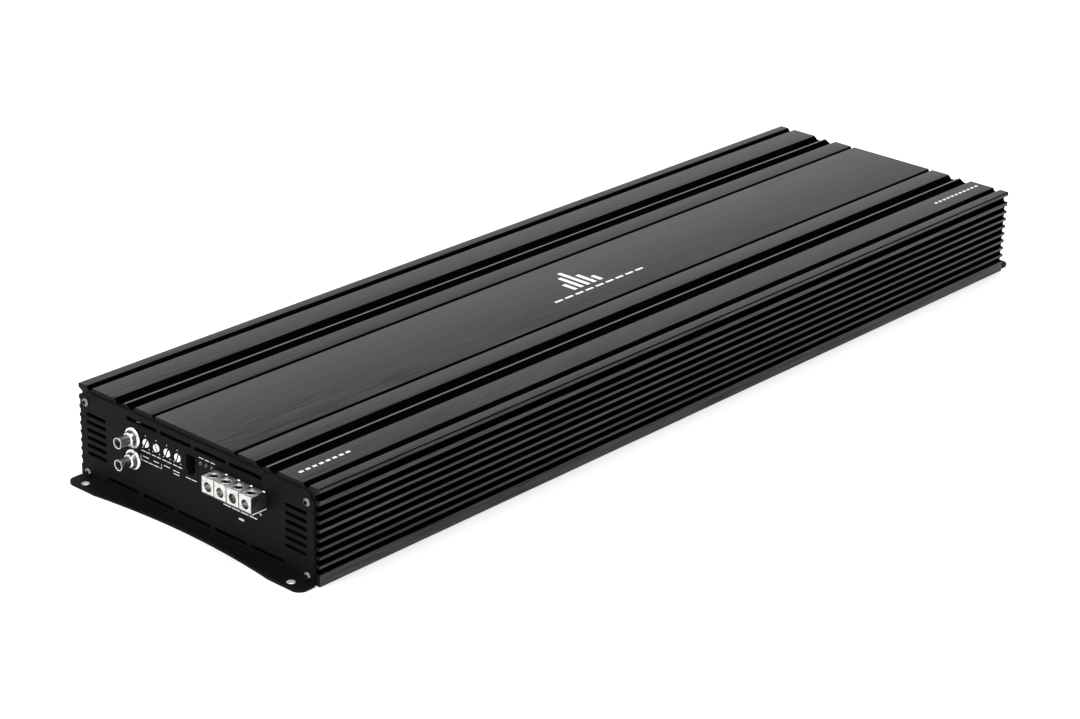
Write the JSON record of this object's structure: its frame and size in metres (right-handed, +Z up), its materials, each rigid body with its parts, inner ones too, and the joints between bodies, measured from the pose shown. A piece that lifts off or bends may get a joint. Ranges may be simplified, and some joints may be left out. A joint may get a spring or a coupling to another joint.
{
  "type": "car amplifier",
  "caption": "Long flat single-channel car audio amplifier: black finned extrusion, folded end plates with mounting ears, phono inputs, adjusters and clamp terminals.",
  "frame": {"origin": "centre of the underside, half way between the tips of the ears and between the two finned sides", "axes": "+X along the body from the control end to the power end, +Y across it, +Z up out of the top face"},
  "size_m": [0.833, 0.2404, 0.0708],
  "materials": {
    "anodised_body": "black anodised, brushed along the length",
    "end_plate_paint": "fine-textured black powder coat",
    "cover_paint": "black paint",
    "zinc_steel": "zinc plated",
    "black_steel": "black oxide",
    "nickel": "bright nickel plate",
    "black_plastic": "moulded black",
    "jack_plastic": "moulded black, smooth",
    "white_plastic": "moulded white",
    "contact_gold": "gold flash",
    "bare_copper": "tinned copper",
    "circuit_board": "solder mask",
    "blue_lens": "diffused lens",
    "red_lens": "diffused lens",
    "amber_lens": "diffused lens",
    "pad_rubber": "silicone pad",
    "device_epoxy": "moulded epoxy",
    "clamp_steel": "rolled bar",
    "ferrite": "coated ring core",
    "iron_powder": "yellow coated ring core",
    "enamelled_wire": "enamelled winding",
    "capacitor_sleeve": "shrink sleeve"
  },
  "bodies": {
    "chassis": {"heatsink": "anodised_body", "bottom_cover": "cover_paint", "bottom_cover_screws": "black_steel", "control_plate": "end_plate_paint", "power_plate": "end_plate_paint", "control_plate_screws": "zinc_steel", "power_plate_screws": "zinc_steel", "phono_housing": "black_plastic", "phono_shell_upper": "nickel", "phono_shell_lower": "nickel", "phono_insulator_upper": "black_plastic", "phono_insulator_lower": "black_plastic", "phono_contact_upper": "nickel", "phono_contact_lower": "nickel", "gain_trimmer": "black_plastic", "low_pass_trimmer": "black_plastic", "subsonic_trimmer": "black_plastic", "bass_trimmer": "black_plastic", "remote_jack": "jack_plastic", "remote_jack_contacts": "contact_gold", "power_led": "blue_lens", "protect_led": "red_lens", "clip_led": "amber_lens", "speaker_terminal_housing": "black_plastic", "speaker_blocks": "nickel", "speaker_links": "bare_copper", "supply_terminal_housing": "black_plastic", "supply_blocks": "nickel", "positive_bus_bar": "bare_copper", "negative_bus_bar": "bare_copper", "trigger_block": "nickel", "control_board": "circuit_board", "main_board": "circuit_board", "main_board_screws": "zinc_steel", "driver_board": "circuit_board", "board_headers": "black_plastic", "thermal_pads": "pad_rubber", "power_transistors": "device_epoxy", "clamp_bars": "clamp_steel", "clamp_bar_screws": "zinc_steel", "transformer_cores": "ferrite", "transformer_windings": "enamelled_wire", "output_coil_cores": "iron_powder", "output_coil_windings": "enamelled_wire", "input_capacitors": "capacitor_sleeve", "rail_capacitors": "capacitor_sleeve"},
    "gain_shaft": {"gain_shaft": "white_plastic"},
    "low_pass_shaft": {"low_pass_shaft": "white_plastic"},
    "subsonic_shaft": {"subsonic_shaft": "white_plastic"},
    "bass_shaft": {"bass_shaft": "white_plastic"},
    "speaker_screw_1": {"speaker_screw_1": "nickel"},
    "speaker_screw_2": {"speaker_screw_2": "nickel"},
    "speaker_screw_3": {"speaker_screw_3": "nickel"},
    "speaker_screw_4": {"speaker_screw_4": "nickel"},
    "supply_screw_1": {"supply_screw_1": "nickel"},
    "supply_screw_2": {"supply_screw_2": "nickel"},
    "supply_screw_3": {"supply_screw_3": "nickel"},
    "supply_screw_4": {"supply_screw_4": "nickel"},
    "trigger_screw": {"trigger_screw": "nickel"}
  },
  "joints": [
    {"name": "gain_turn", "type": "hinge", "parent": "chassis", "child": "gain_shaft", "pos_m": [-0.402, 0.0478, 0.0485], "axis": [1, 0, 0], "range_deg": [-107, 163]},
    {"name": "low_pass_turn", "type": "hinge", "parent": "chassis", "child": "low_pass_shaft", "pos_m": [-0.402, 0.037, 0.0485], "axis": [1, 0, 0], "range_deg": [-163, 107]},
    {"name": "subsonic_turn", "type": "hinge", "parent": "chassis", "child": "subsonic_shaft", "pos_m": [-0.402, 0.0262, 0.0485], "axis": [1, 0, 0], "range_deg": [-111, 159]},
    {"name": "bass_turn", "type": "hinge", "parent": "chassis", "child": "bass_shaft", "pos_m": [-0.402, 0.0154, 0.0485], "axis": [1, 0, 0], "range_deg": [-115, 155]},
    {"name": "speaker_clamp_1", "type": "slide", "parent": "chassis", "child": "speaker_screw_1", "axis": [0, 0, 1], "range_m": [-0.0048, 0.0015]},
    {"name": "speaker_clamp_2", "type": "slide", "parent": "chassis", "child": "speaker_screw_2", "axis": [0, 0, 1], "range_m": [-0.0048, 0.0015]},
    {"name": "speaker_clamp_3", "type": "slide", "parent": "chassis", "child": "speaker_screw_3", "axis": [0, 0, 1], "range_m": [-0.0048, 0.0015]},
    {"name": "speaker_clamp_4", "type": "slide", "parent": "chassis", "child": "speaker_screw_4", "axis": [0, 0, 1], "range_m": [-0.0048, 0.0015]},
    {"name": "supply_clamp_1", "type": "slide", "parent": "chassis", "child": "supply_screw_1", "axis": [0, 0, 1], "range_m": [-0.008, 0.003]},
    {"name": "supply_clamp_2", "type": "slide", "parent": "chassis", "child": "supply_screw_2", "axis": [0, 0, 1], "range_m": [-0.008, 0.003]},
    {"name": "supply_clamp_3", "type": "slide", "parent": "chassis", "child": "supply_screw_3", "axis": [0, 0, 1], "range_m": [-0.008, 0.003]},
    {"name": "supply_clamp_4", "type": "slide", "parent": "chassis", "child": "supply_screw_4", "axis": [0, 0, 1], "range_m": [-0.008, 0.003]},
    {"name": "trigger_clamp", "type": "slide", "parent": "chassis", "child": "trigger_screw", "axis": [0, 0, 1], "range_m": [-0.003, 0.0015]}
  ]
}
